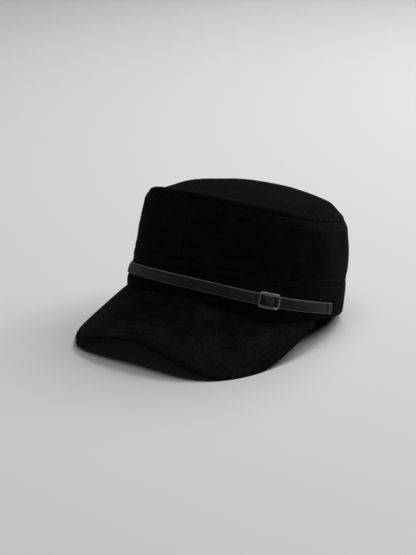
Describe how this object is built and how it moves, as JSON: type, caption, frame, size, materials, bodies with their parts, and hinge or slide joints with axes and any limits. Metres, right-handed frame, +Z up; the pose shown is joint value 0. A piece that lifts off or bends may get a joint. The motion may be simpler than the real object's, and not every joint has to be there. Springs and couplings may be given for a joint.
{
  "type": "cadet cap",
  "caption": "Dark napped cadet cap with an upright crown, headband, short arched peak and a narrow leather strap with a slide buckle.",
  "frame": {"origin": "on the surface that the cap rests on, under the middle of its bounding box", "axes": "+Z up, the peak points to -Y, the wearer's left (the buckle's side) is +X"},
  "size_m": [0.2004, 0.2556, 0.1306],
  "materials": {
    "napped_cloth": "matt near-black suede-like nap",
    "strap_leather": "dark grained leather, half matt",
    "dark_metal": "dark plated, polished on its round edges"
  },
  "bodies": {
    "root": {"crown_top": "napped_cloth", "crown_side_left": "napped_cloth", "crown_side_right": "napped_cloth", "headband": "napped_cloth", "peak": "napped_cloth", "strap": "strap_leather", "buckle": "dark_metal"}
  },
  "joints": []
}
